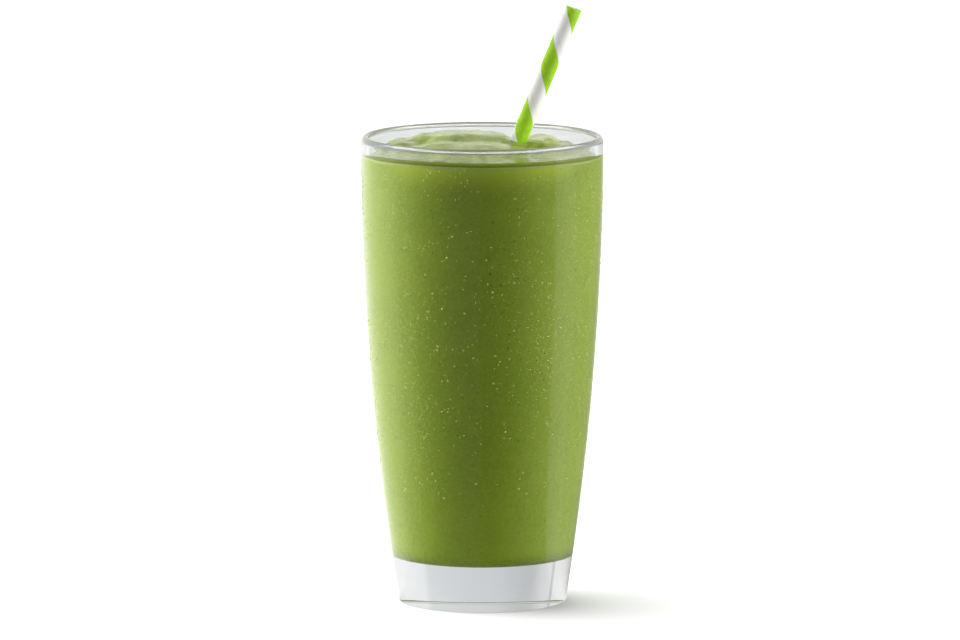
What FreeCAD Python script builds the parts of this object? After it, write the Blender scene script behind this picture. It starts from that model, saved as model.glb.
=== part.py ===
"""Tall tumbler filled with a thick smoothie, with a leaning paper straw.

Units are millimetres. +Z is up, the glass stands on z = 0 and its axis is the Z
axis. The straw leans towards +X. Each node is written to parts/NODE.step.
"""

import FreeCAD, Part
import math
import os

V = FreeCAD.Vector

# ---- glass -----------------------------------------------------------------
GLASS_HEIGHT = 168.6
RIM_OUTER_RADIUS = 43.5
FOOT_OUTER_RADIUS = 31.0
WALL_BULGE = 3.05
LIP_THICKNESS = 2.8
WAIST_THICKNESS = 2.6
BASE_WALL_THICKNESS = 3.3
FLOOR_THICKNESS = 16.5
CAVITY_CORNER_RADIUS = 6.5
FOOT_CORNER_RADIUS = 5.0
FOOT_RING_WIDTH = 6.0
PUNT_DEPTH = 1.2
PUNT_SLOPE_WIDTH = 5.0

# ---- straw -----------------------------------------------------------------
STRAW_OUTER_RADIUS = 3.0
STRAW_WALL = 0.5
STRAW_LEAN_DEG = 22.6
STRAW_RISE_ABOVE_RIM = 45.9
STRAW_RIM_OFFSET_X = 13.7
STRAW_OFFSET_Y = 2.0
STRAW_WALL_CLEARANCE = 0.3

# ---- smoothie --------------------------------------------------------------
FILL_BELOW_RIM = 5.9
SURFACE_GRID_STEPS = 30
SURFACE_MARGIN = 3.0

# Each swell of the surface: centre x, centre y, half width x and half width y as
# shares of the glass's inner radius at the fill level, then its height, and the
# sharpness of its edge (2 is a soft swell, 8 a plateau with a steep edge).
SURFACE_SWELLS = (
    (-0.179, 0.234, 0.482, 0.381, 5.7, 8.0),
    (-0.123, -0.148, 0.541, 0.590, 4.4, 4.0),
    (-0.688, 0.148, 0.177, 0.320, 3.8, 5.0),
    (0.504, 0.221, 0.184, 0.344, 4.4, 7.0),
    (0.664, 0.148, 0.167, 0.320, 2.7, 5.0),
    (0.320, 0.344, 0.197, 0.344, 2.4, 4.0),
)
# How firmly the highest swell wins where swells meet: 1 adds their heights up.
SWELL_BLEND = 4.0
# Each ripple on top of the swells, in the same terms; below zero is a hollow.
SURFACE_RIPPLES = (
    (-0.246, 0.320, 0.148, 0.172, 0.35, 2.0),
    (-0.541, 0.221, 0.074, 0.148, 0.35, 2.0),
    (-0.430, 0.246, 0.061, 0.148, -0.35, 2.0),
    (-0.344, -0.320, 0.221, 0.148, 0.7, 2.0),
    (0.148, -0.393, 0.197, 0.123, 0.5, 2.0),
    (-0.123, -0.074, 0.123, 0.098, -0.7, 2.0),
    (-0.492, -0.025, 0.123, 0.086, -0.5, 2.0),
    (0.295, 0.000, 0.111, 0.123, -0.8, 2.0),
)


class WallArc:
    """Circular arc in the XZ half plane through three points, lowest first."""

    def __init__(self, low, middle, high):
        circle = Part.Arc(low, middle, high).toShape().Curve
        self.centre = circle.Center
        self.radius = circle.Radius

    def radius_at(self, z):
        """Distance of the wall from the glass's axis at height z."""
        return self.centre.x + math.sqrt(self.radius ** 2 - (z - self.centre.z) ** 2)

    def point_at(self, z):
        """Point of the wall at height z."""
        return V(self.radius_at(z), 0, z)

    def edge(self, low, high):
        """Edge that follows the wall between two heights."""
        return arc(self.point_at(low), self.point_at((low + high) / 2), self.point_at(high))


class Corner:
    """Arc that is tangent to a level surface and to a wall that rises from it."""

    def __init__(self, wall, level, radius):
        height = level + radius
        offset = math.sqrt((wall.radius - radius) ** 2 - (height - wall.centre.z) ** 2)
        centre = V(wall.centre.x + offset, 0, height)
        outward = (centre - wall.centre).normalize()
        halfway = (outward + V(0, 0, -1)).normalize()
        self.foot = V(centre.x, 0, level)
        self.bend = centre + halfway * radius
        self.top = centre + outward * radius

    def edge(self):
        """Edge of the corner, from the level surface up to the wall."""
        return arc(self.foot, self.bend, self.top)


def line(start, end):
    """Straight edge."""
    return Part.LineSegment(start, end).toShape()


def arc(start, middle, end):
    """Circular edge through three points."""
    return Part.Arc(start, middle, end).toShape()


def revolve(edges):
    """Solid of revolution about the Z axis of a closed half profile."""
    face = Part.Face(Part.Wire(Part.sortEdges(edges)[0]))
    return face.revolve(V(0, 0, 0), V(0, 0, 1), 360)


def lip_level():
    """Height at which the rounded lip starts."""
    return GLASS_HEIGHT - LIP_THICKNESS / 2


def middle_level():
    """Height halfway between the foot's corner and the lip."""
    return (FOOT_CORNER_RADIUS + lip_level()) / 2


def outer_wall():
    """Arc of the glass's outer wall, which bulges beyond a straight cone."""
    middle_radius = (FOOT_OUTER_RADIUS + RIM_OUTER_RADIUS) / 2 + WALL_BULGE
    return WallArc(
        V(FOOT_OUTER_RADIUS, 0, FOOT_CORNER_RADIUS),
        V(middle_radius, 0, middle_level()),
        V(RIM_OUTER_RADIUS, 0, lip_level()),
    )


def inner_wall(outer):
    """Arc of the glass's inner wall, set in from the outer one."""
    return WallArc(
        V(outer.radius_at(FLOOR_THICKNESS) - BASE_WALL_THICKNESS, 0, FLOOR_THICKNESS),
        V(outer.radius_at(middle_level()) - WAIST_THICKNESS, 0, middle_level()),
        V(RIM_OUTER_RADIUS - LIP_THICKNESS, 0, lip_level()),
    )


def cavity_edges(inner):
    """Edges of the cavity from the centre of its floor up to the lip."""
    corner = Corner(inner, FLOOR_THICKNESS, CAVITY_CORNER_RADIUS)
    return [
        line(V(0, 0, FLOOR_THICKNESS), corner.foot),
        corner.edge(),
        inner.edge(corner.top.z, lip_level()),
    ]


def make_glass(outer, inner):
    """Tumbler with a thick base, a hollow underside and a rounded lip."""
    corner = Corner(outer, 0, FOOT_CORNER_RADIUS)
    crest = V(RIM_OUTER_RADIUS - LIP_THICKNESS / 2, 0, GLASS_HEIGHT)
    punt_rim = corner.foot - V(FOOT_RING_WIDTH, 0, 0)
    punt_edge = punt_rim + V(-PUNT_SLOPE_WIDTH, 0, PUNT_DEPTH)
    edges = [
        line(V(0, 0, PUNT_DEPTH), punt_edge),
        line(punt_edge, punt_rim),
        line(punt_rim, corner.foot),
        corner.edge(),
        outer.edge(corner.top.z, lip_level()),
        arc(outer.point_at(lip_level()), crest, inner.point_at(lip_level())),
        line(V(0, 0, PUNT_DEPTH), V(0, 0, FLOOR_THICKNESS)),
    ]
    return revolve(edges + cavity_edges(inner))


def cavity(inner, top):
    """Space inside the glass from its floor up to the given height."""
    rim = inner.point_at(lip_level())
    edges = [
        line(rim, V(rim.x, 0, top)),
        line(V(rim.x, 0, top), V(0, 0, top)),
        line(V(0, 0, top), V(0, 0, FLOOR_THICKNESS)),
    ]
    return revolve(edges + cavity_edges(inner))


def straw_direction():
    """Unit vector up along the straw."""
    lean = math.radians(STRAW_LEAN_DEG)
    return V(math.sin(lean), 0, math.cos(lean))


def straw_axis_at(z):
    """Point of the straw's axis at height z."""
    lean = math.radians(STRAW_LEAN_DEG)
    return V(STRAW_RIM_OFFSET_X + (z - GLASS_HEIGHT) * math.tan(lean), STRAW_OFFSET_Y, z)


def lower_end_gap(inner, z):
    """Smallest gap between the wall and the rim of a straw end centred at height z."""
    lean = math.radians(STRAW_LEAN_DEG)
    across = V(-math.cos(lean), 0, math.sin(lean))
    along_y = V(0, 1, 0)
    centre = straw_axis_at(z)
    gaps = []
    for step in range(72):
        turn = math.radians(5 * step)
        reach = across * math.cos(turn) + along_y * math.sin(turn)
        point = centre + reach * STRAW_OUTER_RADIUS
        gaps.append(inner.radius_at(point.z) - math.hypot(point.x, point.y))
    return min(gaps)


def straw_foot_level(inner):
    """Height at which the straw's lower end comes to rest beside the wall."""
    low = FLOOR_THICKNESS + CAVITY_CORNER_RADIUS
    high = GLASS_HEIGHT
    for _ in range(60):
        middle = (low + high) / 2
        if lower_end_gap(inner, middle) < STRAW_WALL_CLEARANCE:
            low = middle
        else:
            high = middle
    return high


def make_straw(inner):
    """Straight paper tube with square ends."""
    foot = straw_axis_at(straw_foot_level(inner))
    top = straw_axis_at(GLASS_HEIGHT + STRAW_RISE_ABOVE_RIM)
    length = (top - foot).Length
    body = Part.makeCylinder(STRAW_OUTER_RADIUS, length, foot, straw_direction())
    bore = Part.makeCylinder(STRAW_OUTER_RADIUS - STRAW_WALL, length, foot, straw_direction())
    return body.cut(bore)


def fill_level():
    """Height of the drink's edge on the wall."""
    return GLASS_HEIGHT - FILL_BELOW_RIM


def swell(x, y, shape):
    """Height of one swell or ripple, at a point given in shares of the inner radius."""
    centre_x, centre_y, half_x, half_y, height, sharpness = shape
    distance = math.hypot((x - centre_x) / half_x, (y - centre_y) / half_y)
    return height * math.exp(-(distance ** sharpness))


def surface_height(x, y):
    """Height of the smoothie's surface, at a point given in shares of the inner radius."""
    swells = sum(swell(x, y, shape) ** SWELL_BLEND for shape in SURFACE_SWELLS)
    ripples = sum(swell(x, y, shape) for shape in SURFACE_RIPPLES)
    return fill_level() + swells ** (1 / SWELL_BLEND) + ripples


def under_surface(inner):
    """Block that lies under the smoothie's surface."""
    inner_radius = inner.radius_at(fill_level())
    half = RIM_OUTER_RADIUS + SURFACE_MARGIN
    step = 2 * half / SURFACE_GRID_STEPS
    places = [-half + i * step for i in range(SURFACE_GRID_STEPS + 1)]
    rows = [[V(x, y, surface_height(x / inner_radius, y / inner_radius)) for y in places]
            for x in places]
    surface = Part.BSplineSurface()
    surface.interpolate(rows)
    return surface.toShape().extrude(V(0, 0, -2 * GLASS_HEIGHT))


def make_smoothie(inner, straw):
    """Drink that fills the glass up to its heaped surface, around the straw."""
    above_surface = GLASS_HEIGHT + 2 * LIP_THICKNESS
    filled = cavity(inner, above_surface).common(under_surface(inner))
    return filled.cut(straw)


def single_solid(shape, name):
    """The one solid of a shape."""
    if len(shape.Solids) != 1:
        raise ValueError(name + " has " + str(len(shape.Solids)) + " solids")
    solid = shape.Solids[0]
    if not solid.isValid():
        raise ValueError(name + " is not valid")
    return solid


def main():
    """Build the nodes and write them."""
    os.makedirs("parts", exist_ok=True)
    outer = outer_wall()
    inner = inner_wall(outer)
    straw = make_straw(inner)
    nodes = {
        "glass": make_glass(outer, inner),
        "smoothie": make_smoothie(inner, straw),
        "straw": straw,
    }
    for name, shape in nodes.items():
        solid = single_solid(shape, name)
        solid.exportStep("parts/" + name + ".step")
        box = solid.BoundBox
        print(name, "volume", round(solid.Volume, 1), "box",
              [round(v, 2) for v in (box.XMin, box.YMin, box.ZMin, box.XMax, box.YMax, box.ZMax)])


main()
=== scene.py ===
"""Green smoothie in a tall tumbler with a leaning striped paper straw.

Lengths are in metres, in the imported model's own frame: +Z is up, the glass stands
on z = 0 and its axis is the Z axis. The straw leans towards +X.
"""

import logging
import math
from dataclasses import dataclass
from enum import Enum
from typing import Any, Callable, Sequence

import bpy
import numpy as np
from mathutils import Matrix, Vector, noise
from mathutils.bvhtree import BVHTree

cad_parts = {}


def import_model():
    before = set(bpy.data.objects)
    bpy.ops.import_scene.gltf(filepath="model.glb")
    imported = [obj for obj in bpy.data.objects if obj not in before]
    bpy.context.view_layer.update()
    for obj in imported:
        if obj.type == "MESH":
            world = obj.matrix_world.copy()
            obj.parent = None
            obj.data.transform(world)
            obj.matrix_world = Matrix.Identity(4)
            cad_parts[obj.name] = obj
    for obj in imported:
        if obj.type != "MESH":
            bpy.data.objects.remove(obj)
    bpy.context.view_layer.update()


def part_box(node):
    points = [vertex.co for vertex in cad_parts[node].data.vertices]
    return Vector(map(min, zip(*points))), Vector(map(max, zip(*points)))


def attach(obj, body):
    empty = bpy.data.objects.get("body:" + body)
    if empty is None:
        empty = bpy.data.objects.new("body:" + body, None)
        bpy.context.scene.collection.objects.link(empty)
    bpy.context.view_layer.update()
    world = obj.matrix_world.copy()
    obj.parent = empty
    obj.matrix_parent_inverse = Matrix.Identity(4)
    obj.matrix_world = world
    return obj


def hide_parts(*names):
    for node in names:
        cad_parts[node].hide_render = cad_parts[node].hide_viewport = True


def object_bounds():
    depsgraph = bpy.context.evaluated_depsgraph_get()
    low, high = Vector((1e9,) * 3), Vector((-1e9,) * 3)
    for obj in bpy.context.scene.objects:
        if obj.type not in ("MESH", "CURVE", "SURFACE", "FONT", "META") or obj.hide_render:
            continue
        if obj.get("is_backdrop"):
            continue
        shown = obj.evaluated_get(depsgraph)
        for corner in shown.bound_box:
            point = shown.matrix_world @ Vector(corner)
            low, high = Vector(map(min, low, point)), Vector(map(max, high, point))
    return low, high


MM = 0.001
BODY = "root"
WELD = 1e-7
SWIRL_SEED = 7
LEAF_SCATTER = (0.7, 1.0, 0.25)
FRONT_FROM, FRONT_FULL = -0.1, 0.6

Colour = tuple[float, float, float]
Point2 = tuple[float, float]
Shift = tuple[float, float, float]
Outline = list[Point2]
Socket = bpy.types.NodeSocket
Piece = bpy.types.Object
Material = bpy.types.Material

log = logging.getLogger("smoothie")


class CadNode(Enum):
    """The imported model's nodes."""

    GLASS = "glass"
    SMOOTHIE = "smoothie"
    STRAW = "straw"


class Slot(Enum):
    """Names of material slots."""

    GLASS = "glass"
    SMOOTHIE = "smoothie"
    STRAW = "straw"


class Ray(Enum):
    """Kinds of light path that a shader can tell apart."""

    CAMERA = "Is Camera Ray"
    SHADOW = "Is Shadow Ray"
    DIFFUSE = "Is Diffuse Ray"
    GLOSSY = "Is Glossy Ray"
    TRANSMISSION = "Is Transmission Ray"


def smooth_step(value: float, low: float, high: float) -> float:
    """Soft ramp from 0 at low to 1 at high."""
    share = min(max((value - low) / (high - low), 0.0), 1.0)
    return share * share * (3.0 - 2.0 * share)


def frontness(turn: float) -> float:
    """Weight of a direction about the axis: 1 at the front (-Y), 0 at the back."""
    return smooth_step(-math.sin(turn), FRONT_FROM, FRONT_FULL)


def cloud(place: Vector, size: float, shift: Shift) -> float:
    """Cloudy pattern from -1 to 1 with blobs of one size. The shift sets it apart from others."""
    return noise.noise(place / size + Vector(shift))


def patches(size: float, shift: Shift, low: float, high: float) -> Callable[[Vector], float]:
    """Cover that goes from 0 to 1 in patches of one size."""
    return lambda place: smooth_step(0.5 + 0.5 * cloud(place, size, shift), low, high)


def lift_of(degrees: float) -> float:
    """Height of a direction of length 1 at an elevation."""
    return math.sin(math.radians(degrees))


# ---------------------------------------------------------------- node benches


class Bench:
    """A node tree while its nodes are put in and joined."""

    def __init__(self, tree: bpy.types.NodeTree) -> None:
        """Works on an empty tree."""
        self.tree = tree

    def feed(self, socket: Socket, value: Any) -> None:
        """Gives an input its value.

        Args:
            socket: The input.
            value: A plain value, or the output socket to join it to.
        """
        if isinstance(value, Socket):
            self.tree.links.new(value, socket)
        else:
            socket.default_value = value

    def add(self, kind: str, inputs: dict[str | int, Any] | None = None, **settings: Any) -> bpy.types.Node:
        """Adds one node.

        Args:
            kind: The node's type name.
            inputs: Values or output sockets, by input name or number.
            settings: The node's own settings.

        Returns:
            The node.
        """
        node = self.tree.nodes.new(kind)
        for name, value in settings.items():
            setattr(node, name, value)
        for name, value in (inputs or {}).items():
            self.feed(node.inputs[name], value)
        return node

    def sum(self, operation: str, *terms: Any) -> Socket:
        """Result of one arithmetic node on the terms."""
        return self.add("ShaderNodeMath", dict(enumerate(terms)), operation=operation).outputs[0]

    def for_rays(self, kind: Ray, usual: Any, special: Any) -> Socket:
        """One shader for a kind of light path, and the usual one for all others."""
        share = self.add("ShaderNodeLightPath").outputs[kind.value]
        return self.add("ShaderNodeMixShader", {0: share, 1: usual, 2: special}).outputs[0]

    def ramp(self, value: Any, low: float, high: float, start: float = 0.0, end: float = 1.0) -> Any:
        """Soft ramp from start to end as a value goes from low to high."""
        inputs = {"Value": value, "From Min": low, "From Max": high, "To Min": start, "To Max": end}
        return self.add("ShaderNodeMapRange", inputs, interpolation_type="SMOOTHSTEP").outputs[0]

    def ring(self, direction: Any, stops: Sequence[Point2]) -> Socket:
        """Brightness by azimuth, where 0 is the lens side (-Y) and 90 the right (+X), in degrees.

        Args:
            direction: Socket with a direction or a place about the glass's axis.
            stops: Azimuths with their brightness, from -180 to 180.

        Returns:
            The socket with the brightness.
        """
        axes = self.add("ShaderNodeSeparateXYZ", {0: direction})
        turn = self.sum("ARCTAN2", axes.outputs["X"], self.sum("MULTIPLY", axes.outputs["Y"], -1.0))
        share = self.sum("ADD", self.sum("DIVIDE", turn, math.tau), 0.5)
        most = max(level for _, level in stops)
        node = self.add("ShaderNodeValToRGB", {"Fac": share})
        node.color_ramp.interpolation = "EASE"
        elements = node.color_ramp.elements
        while len(elements) < len(stops):
            elements.new(0.5)
        for element, (azimuth, level) in zip(elements, stops):
            element.position = azimuth / 360.0 + 0.5
            element.color = (level / most, level / most, level / most, 1.0)
        return self.sum("MULTIPLY", node.outputs["Color"], most)


class Recipe(Bench):
    """A Geometry Nodes tree with named inputs."""

    def __init__(self, name: str) -> None:
        """Starts a tree that gives one geometry."""
        super().__init__(bpy.data.node_groups.new(name, "GeometryNodeTree"))
        self.tree.interface.new_socket("Geometry", in_out="OUTPUT", socket_type="NodeSocketGeometry")
        self.entry = self.tree.nodes.new("NodeGroupInput")
        self.exit = self.tree.nodes.new("NodeGroupOutput")

    def ask(self, name: str, kind: str) -> Socket:
        """Adds a named input and returns the socket that carries it."""
        self.tree.interface.new_socket(name, in_out="INPUT", socket_type="NodeSocket" + kind)
        return self.entry.outputs[name]

    def shape_of(self, thing: Socket) -> Socket:
        """Geometry of an object that the tree was given."""
        return self.add("GeometryNodeObjectInfo", {"Object": thing}).outputs["Geometry"]

    def close(self, geometry: Socket, material: Socket) -> None:
        """Ends the tree: instances made real, and the finish put on."""
        real = self.add("GeometryNodeRealizeInstances", {"Geometry": geometry})
        dressed = self.add("GeometryNodeSetMaterial", {"Geometry": real.outputs[0], "Material": material})
        self.tree.links.new(dressed.outputs[0], self.exit.inputs[0])

    def make(self, name: str, **values: Any) -> Piece:
        """Runs the tree once and keeps its result as a plain mesh.

        Args:
            name: Name of the new piece.
            values: The tree's inputs, by name with spaces as underscores.

        Returns:
            The piece, at the origin and with no modifier.
        """
        piece = bpy.data.objects.new(name, bpy.data.meshes.new(name))
        bpy.context.scene.collection.objects.link(piece)
        modifier = piece.modifiers.new(name, "NODES")
        modifier.node_group = self.tree
        for item in self.tree.interface.items_tree:
            key = item.name.replace(" ", "_")
            if item.in_out == "INPUT" and key in values:
                modifier[item.identifier] = values[key]
        graph = bpy.context.evaluated_depsgraph_get()
        mesh = bpy.data.meshes.new_from_object(
            piece.evaluated_get(graph), preserve_all_data_layers=True, depsgraph=graph)
        piece.modifiers.remove(modifier)
        piece.data = mesh
        mesh.name = name
        return piece


class LatheRecipe(Recipe):
    """Turns an outline about the Z axis into a closed surface."""

    def __init__(self) -> None:
        """Writes the tree."""
        super().__init__("Lathe")
        outline = self.ask("Outline", "Object")
        count = self.ask("Outline Points", "Int")
        sides = self.ask("Sides", "Int")
        material = self.ask("Finish", "Material")
        columns = self.sum("ADD", sides, 1.0)
        grid = self.add("GeometryNodeMeshGrid", {"Size X": 1.0, "Size Y": 1.0,
                                                 "Vertices X": columns, "Vertices Y": count})
        index = self.add("GeometryNodeInputIndex").outputs[0]
        column = self.sum("FLOOR", self.sum("DIVIDE", index, count))
        place = self.add("GeometryNodeInputPosition").outputs[0]
        sample = self.add("GeometryNodeSampleIndex", data_type="FLOAT_VECTOR", domain="POINT")
        self.feed(sample.inputs["Geometry"], self.shape_of(outline))
        self.feed(sample.inputs["Value"], place)
        self.feed(sample.inputs["Index"], self.sum("MODULO", index, count))
        turn = self.sum("MULTIPLY", self.sum("DIVIDE", column, sides), math.tau)
        turned = self.add("ShaderNodeVectorRotate", {"Vector": sample.outputs[0], "Angle": turn},
                          rotation_type="Z_AXIS")
        wrap = {"Geometry": grid.outputs["Mesh"], "Name": "OFBake", "Value": grid.outputs["UV Map"]}
        wrapped = self.add("GeometryNodeStoreNamedAttribute", wrap, data_type="FLOAT2", domain="CORNER")
        placed = self.add("GeometryNodeSetPosition",
                          {"Geometry": wrapped.outputs[0], "Position": turned.outputs[0]})
        welded = self.add("GeometryNodeMergeByDistance", {"Geometry": placed.outputs[0], "Distance": WELD})
        smooth = self.add("GeometryNodeSetShadeSmooth", {"Geometry": welded.outputs[0]})
        self.close(smooth.outputs[0], material)

    def turn(self, name: str, outline: Outline, sides: int, material: Material) -> Piece:
        """Turns one outline.

        Args:
            name: Name of the new piece.
            outline: Points as radius and height, so ordered that outside lies on the right hand.
            sides: Number of faces round the axis.
            material: The finish.

        Returns:
            The piece.
        """
        pattern = mesh_object("Outline", [(radius, 0.0, height) for radius, height in outline], [])
        piece = self.make(name, Outline=pattern, Outline_Points=len(outline), Sides=sides, Finish=material)
        bpy.data.objects.remove(pattern)
        return piece


class ScatterRecipe(Recipe):
    """Strews copies of a small shape over a surface, each turned and sized on its own."""

    def __init__(self) -> None:
        """Writes the tree. The surface's attribute "cover" says how thickly each place is strewn."""
        super().__init__("Scatter")
        surface = self.ask("Surface", "Object")
        shape = self.ask("Shape", "Object")
        density = self.ask("Density", "Float")
        smallest = self.ask("Smallest", "Float")
        largest = self.ask("Largest", "Float")
        rarity = self.ask("Rarity Of Large", "Float")
        stretch = self.ask("Stretch", "Float")
        seed = self.ask("Seed", "Int")
        material = self.ask("Finish", "Material")
        cover = self.add("GeometryNodeInputNamedAttribute", {"Name": "cover"}, data_type="FLOAT").outputs[0]
        points = self.add("GeometryNodeDistributePointsOnFaces",
                          {"Mesh": self.shape_of(surface), "Density": self.sum("MULTIPLY", density, cover),
                           "Seed": seed}, distribute_method="RANDOM")
        chance = self.random(0.0, 1.0, seed, 1)
        size = self.sum("ADD", smallest, self.sum("MULTIPLY", self.sum("SUBTRACT", largest, smallest),
                                                  self.sum("POWER", chance, rarity)))
        longer = self.sum("ADD", 1.0, self.sum("MULTIPLY", stretch, self.random(0.0, 1.0, seed, 2)))
        scale = self.add("ShaderNodeCombineXYZ", {"X": self.sum("MULTIPLY", size, longer),
                                                  "Y": size, "Z": size}).outputs[0]
        spin = self.add("FunctionNodeAxisAngleToRotation",
                        {"Axis": (0.0, 0.0, 1.0), "Angle": self.random(0.0, math.tau, seed, 3)}).outputs[0]
        turned = {"Rotation": points.outputs["Rotation"], "Rotate By": spin}
        lie = self.add("FunctionNodeRotateRotation", turned, rotation_space="LOCAL").outputs[0]
        copies = self.add("GeometryNodeInstanceOnPoints",
                          {"Points": points.outputs["Points"], "Instance": self.shape_of(shape),
                           "Rotation": lie, "Scale": scale})
        self.close(copies.outputs[0], material)

    def random(self, low: float, high: float, seed: Socket, stream: int) -> Socket:
        """One random number for each point.

        Args:
            low: Least value.
            high: Greatest value.
            seed: The scatter's own seed.
            stream: Number that sets this draw apart from the others.

        Returns:
            The socket with the number.
        """
        own_seed = self.sum("ADD", seed, float(stream))
        node = self.add("FunctionNodeRandomValue", {2: low, 3: high, "Seed": own_seed}, data_type="FLOAT")
        return node.outputs[1]


class MaterialBench(Bench):
    """The nodes of one material. Patterns are laid out in the object's own coordinates."""

    def __init__(self, name: str) -> None:
        """Starts a material that holds only its output."""
        self.material = bpy.data.materials.new(name)
        self.material.use_nodes = True
        super().__init__(self.material.node_tree)
        self.tree.nodes.clear()
        self.output = self.add("ShaderNodeOutputMaterial")
        self.place = self.add("ShaderNodeTexCoord").outputs["Object"]

    def noise(self, feature: float, detail: float = 3.0, **inputs: Any) -> Socket:
        """Cloudy pattern from 0 to 1.

        Args:
            feature: Size of its blobs, in metres.
            detail: Number of finer layers.
            inputs: Further inputs of the noise.

        Returns:
            The socket with the pattern.
        """
        values = {"Vector": self.place, "Scale": 1.0 / feature, "Detail": detail}
        return self.add("ShaderNodeTexNoise", {**values, **inputs}).outputs["Fac"]

    def attribute(self, name: str) -> Socket:
        """A number that the mesh itself carries."""
        return self.add("ShaderNodeAttribute", attribute_name=name).outputs["Fac"]

    def blend(self, share: Any, first: Any, second: Any, mode: str = "MIX") -> Socket:
        """Colour between two, by share."""
        colours = [c if isinstance(c, Socket) else (*c, 1.0) for c in (first, second)]
        node = self.add("ShaderNodeMix", {0: share, 6: colours[0], 7: colours[1]}, data_type="RGBA",
                        blend_type=mode)
        return node.outputs[2]

    def bump(self, height: Any, depth: float, under: Any = None) -> Socket:
        """Relief of the surface's normal.

        Args:
            height: Pattern from 0 to 1.
            depth: Depth of the relief, in metres.
            under: Normal of a coarser relief that this one lies on.

        Returns:
            The socket with the normal.
        """
        inputs = {"Height": height, "Distance": depth}
        if under is not None:
            inputs["Normal"] = under
        return self.add("ShaderNodeBump", inputs).outputs[0]

    def close(self, inputs: dict[str, Any]) -> Material:
        """Ends the material with one Principled shader.

        Args:
            inputs: The shader's inputs by name.

        Returns:
            The material.
        """
        shader = self.add("ShaderNodeBsdfPrincipled", inputs)
        self.tree.links.new(shader.outputs[0], self.output.inputs[0])
        return self.material

    def close_clear(self, inputs: dict[str, Any], shade: Colour, bulk: Colour | None = None,
                    bulk_density: float = 0.0) -> Material:
        """Ends a clear material, through which lamps and soft light reach what is behind it.

        Args:
            inputs: The Principled shader's inputs by name.
            shade: What is left of that light at each surface that it crosses.
            bulk: Colour that the bulk leaves, or None where it takes nothing.
            bulk_density: How strongly the bulk takes light, per metre.

        Returns:
            The material.
        """
        shader = self.add("ShaderNodeBsdfPrincipled", inputs).outputs[0]
        clear = self.add("ShaderNodeBsdfTransparent", {"Color": (*shade, 1.0)}).outputs[0]
        for kind in (Ray.SHADOW, Ray.DIFFUSE):
            shader = self.for_rays(kind, shader, clear)
        self.tree.links.new(shader, self.output.inputs["Surface"])
        if bulk is not None:
            volume = self.add("ShaderNodeVolumeAbsorption", {"Color": (*bulk, 1.0), "Density": bulk_density})
            self.tree.links.new(volume.outputs[0], self.output.inputs["Volume"])
        return self.material


# ---------------------------------------------------------------- finishes


@dataclass(frozen=True)
class ClearGlass:
    """Pressed clear glass, faintly wavy, with a breath of mist on it. The lip's is milkier."""

    name: str = "ClearGlass"
    tint: Colour = (0.990, 0.998, 0.992)
    refraction: float = 1.5
    wave: float = 14 * MM
    wave_depth: float = 0.02 * MM
    haze_patch: float = 9 * MM
    haze: float = 0.02
    clear_share: float = 1.0
    shade: Colour = (0.82, 0.825, 0.82)
    bulk: Colour = (0.50, 0.53, 0.56)
    bulk_density: float = 8.0

    def make(self) -> Material:
        """Builds the material."""
        bench = MaterialBench(self.name)
        waves = bench.noise(self.wave, 1.0)
        haze = bench.ramp(bench.noise(self.haze_patch, 4.0), 0.4, 0.7, 0.0, self.haze)
        return bench.close_clear({
            "Base Color": (*self.tint, 1.0), "Transmission Weight": self.clear_share, "IOR": self.refraction,
            "Roughness": haze, "Normal": bench.bump(waves, self.wave_depth),
        }, self.shade, self.bulk, self.bulk_density)


@dataclass(frozen=True)
class WaterBead:
    """Condensed water, a little milky; its yellow-green colour is painted, standing in for the drink seen
    through it.
    """

    name: str = "WaterBead"
    refraction: float = 1.33
    ripple: float = 0.3 * MM
    ripple_depth: float = 0.01 * MM
    clear_share: float = 0.35
    # Painted tint of the drink seen through the bead.
    glow: Colour = (0.900, 0.960, 0.320)
    shade: Colour = (0.97, 0.97, 0.97)

    def make(self) -> Material:
        """Builds the material."""
        bench = MaterialBench(self.name)
        ripples = bench.noise(self.ripple, 1.0)
        return bench.close_clear({
            "Base Color": (*self.glow, 1.0), "Transmission Weight": self.clear_share,
            "IOR": self.refraction, "Roughness": bench.ramp(ripples, 0.2, 0.8, 0.0, 0.05),
            "Normal": bench.bump(ripples, self.ripple_depth),
        }, self.shade)


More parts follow.
